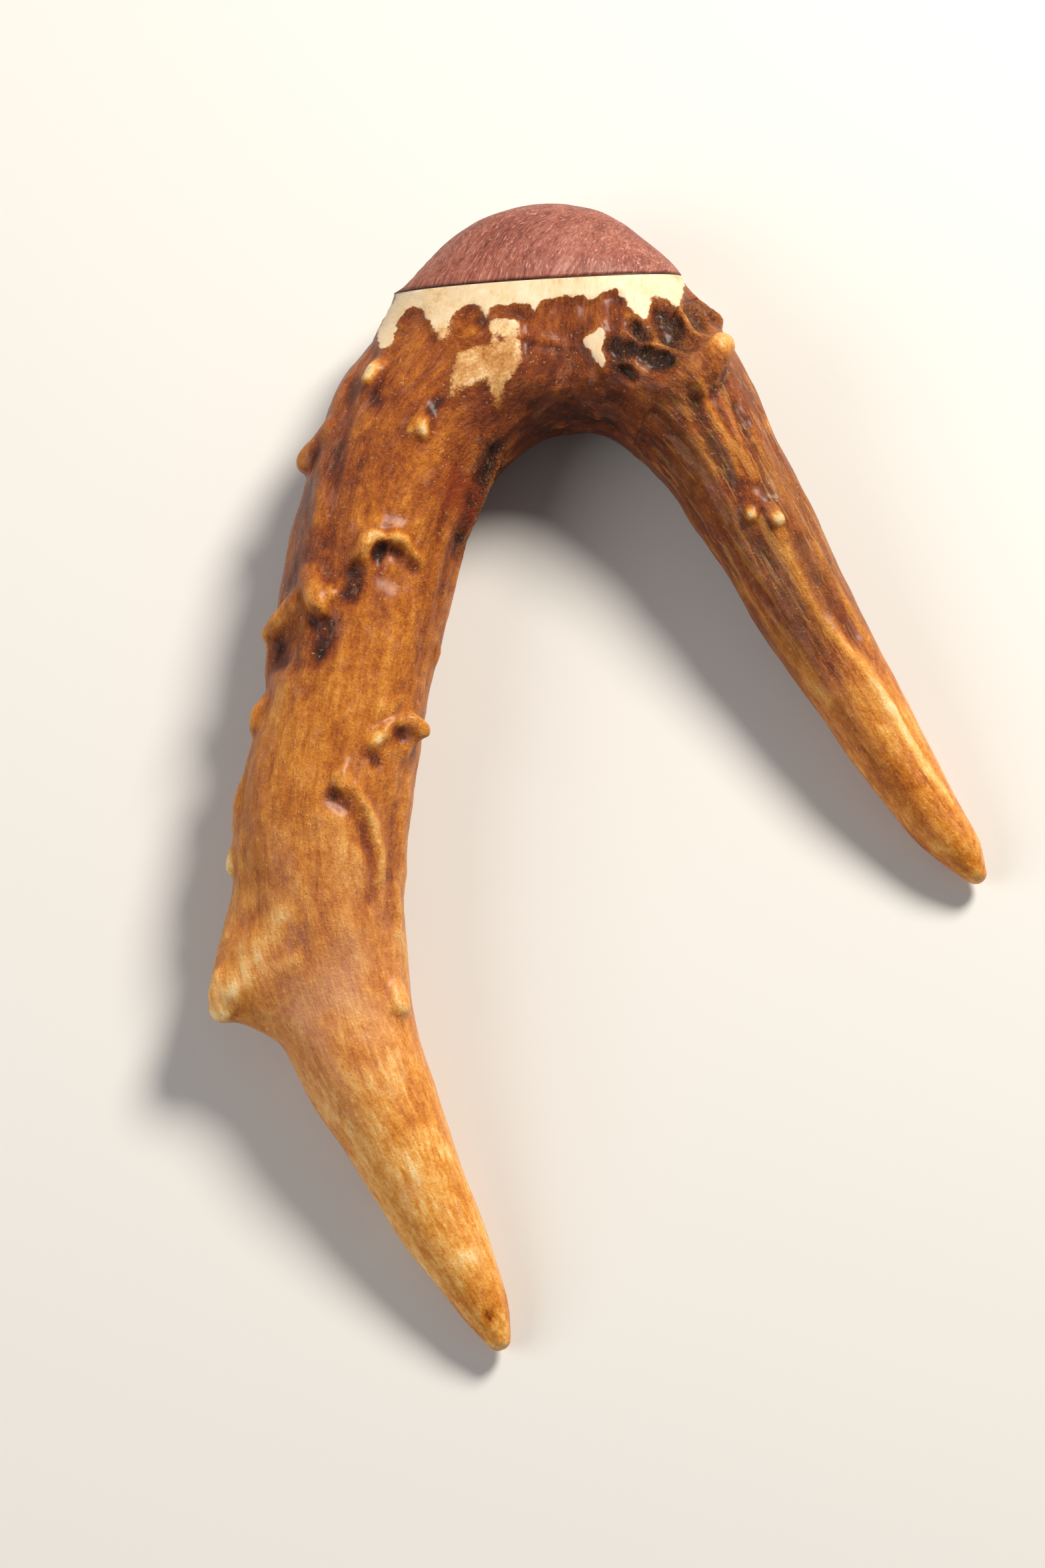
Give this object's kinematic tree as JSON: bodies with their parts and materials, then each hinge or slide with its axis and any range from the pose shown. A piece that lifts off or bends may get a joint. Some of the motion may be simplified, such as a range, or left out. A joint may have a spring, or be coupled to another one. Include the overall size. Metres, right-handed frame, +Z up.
{
  "type": "antler lucet",
  "caption": "Two-pronged lucet fork of pearled roe deer antler, with polished prong tips and a domed dark hardwood cap glued on the sawn end; used for making cord.",
  "frame": {"origin": "middle of the footprint of the whole object as it lies flat, at the height of its lowest point", "axes": "+Y along the fork from the prong tips towards the wooden cap, +X to the side of the long smooth prong, +Z up out of the plane that both prongs lie in"},
  "size_m": [0.0952, 0.1442, 0.0227],
  "materials": {
    "antler_bark": "waxed antler bark, semi-gloss, golden brown with dark hollows, cream where it is sanded",
    "antler_core": "open porous bone, matt",
    "dark_glue": "cured dark adhesive",
    "dowel_wood": "plain turned wood",
    "dark_hardwood": "sanded and waxed dark red hardwood with fine fibres, satin"
  },
  "bodies": {
    "root": {"antler_fork": "antler_bark", "spongy_core": "antler_core", "glue_line": "dark_glue", "cap_dowel": "dowel_wood", "wood_cap": "dark_hardwood"}
  },
  "joints": []
}
